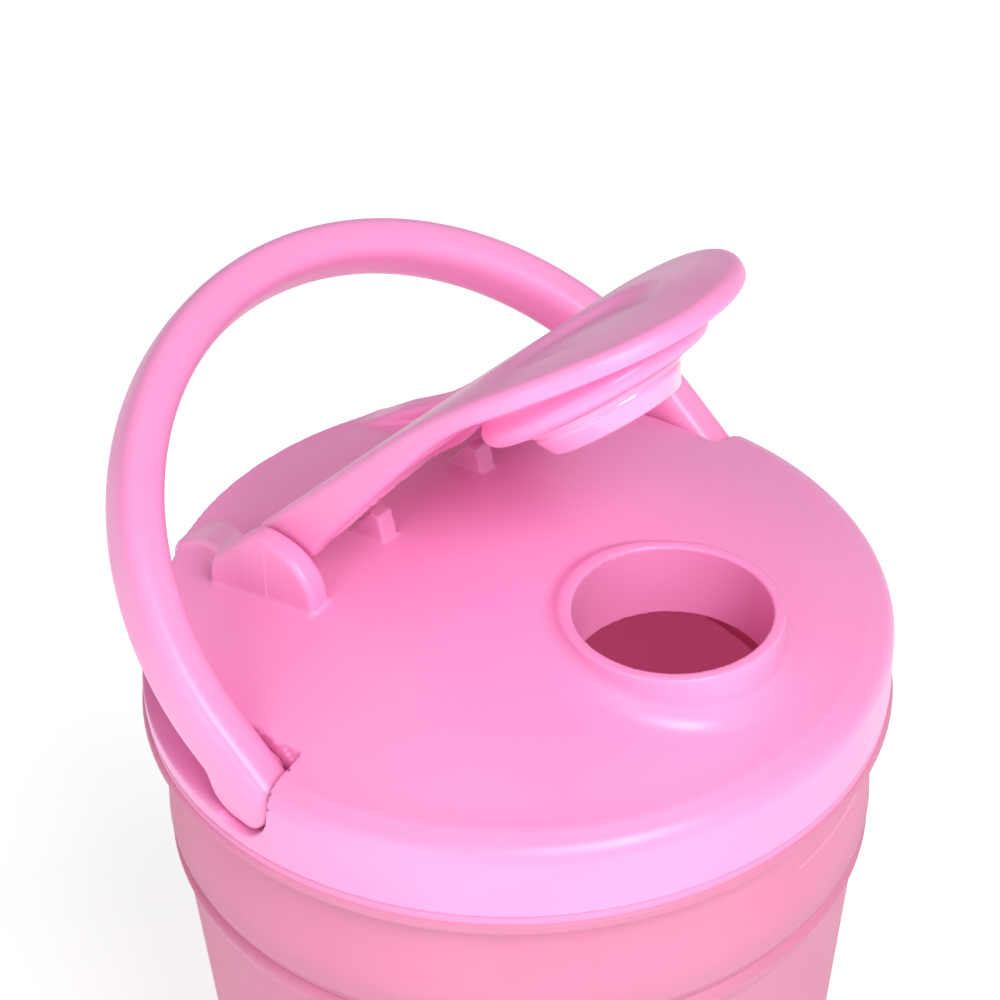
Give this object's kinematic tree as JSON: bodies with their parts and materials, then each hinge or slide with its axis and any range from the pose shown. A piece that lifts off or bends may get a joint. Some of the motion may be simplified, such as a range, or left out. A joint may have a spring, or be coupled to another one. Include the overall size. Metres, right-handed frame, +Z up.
{
  "type": "shaker bottle",
  "caption": "Tapered frosted cup with a screw-on domed lid, round drinking spout, hinged flip cap with a sealing plug, swinging carry loop and a loose wire whisk ball.",
  "frame": {"origin": "middle of the cup's resting face", "axes": "+Z up along the cup; the spout is on the -Y side of the lid, the cap hinge on the +Y side with its axis along X"},
  "size_m": [0.1, 0.1, 0.2269],
  "materials": {
    "frosted_cup": "frosted, translucent",
    "lid_plastic": "satin",
    "soft_seal": "soft matte",
    "gloss_seal": "glossy",
    "steel_wire": "polished wire"
  },
  "bodies": {
    "cup": {"cup": "frosted_cup"},
    "gasket": {"lid_gasket": "soft_seal"},
    "lid": {"lid": "lid_plastic"},
    "flip_cap": {"flip_cap": "lid_plastic", "spout_seal": "gloss_seal"},
    "carry_loop": {"carry_loop": "lid_plastic"},
    "whisk_ball": {"whisk_ball": "steel_wire"}
  },
  "joints": [
    {"name": "lid_lift", "type": "slide", "parent": "cup", "child": "gasket", "axis": [0, 0, 1], "range_m": [0, 0.0182]},
    {"name": "lid_turn", "type": "hinge", "parent": "gasket", "child": "lid", "pos_m": [0, 0, 0.16], "axis": [0, 0, 1], "range_deg": [0, 1090]},
    {"name": "flip_cap_hinge", "type": "hinge", "parent": "lid", "child": "flip_cap", "pos_m": [0, 0.0205, 0.1784], "axis": [-1, 0, 0], "range_deg": [-38, 54]},
    {"name": "carry_loop_hinge", "type": "hinge", "parent": "lid", "child": "carry_loop", "pos_m": [0, 0.0041, 0.1678], "axis": [1, 0, 0], "range_deg": [-39.7, 50]},
    {"name": "whisk_ball_slide", "type": "slide", "parent": "cup", "child": "whisk_ball", "axis": [0, 0, 1], "range_m": [0, 0.12]}
  ],
  "couplings": [
    {"joint": "lid_lift", "follows": "lid_turn", "m_per_rad": 0.0009549}
  ]
}
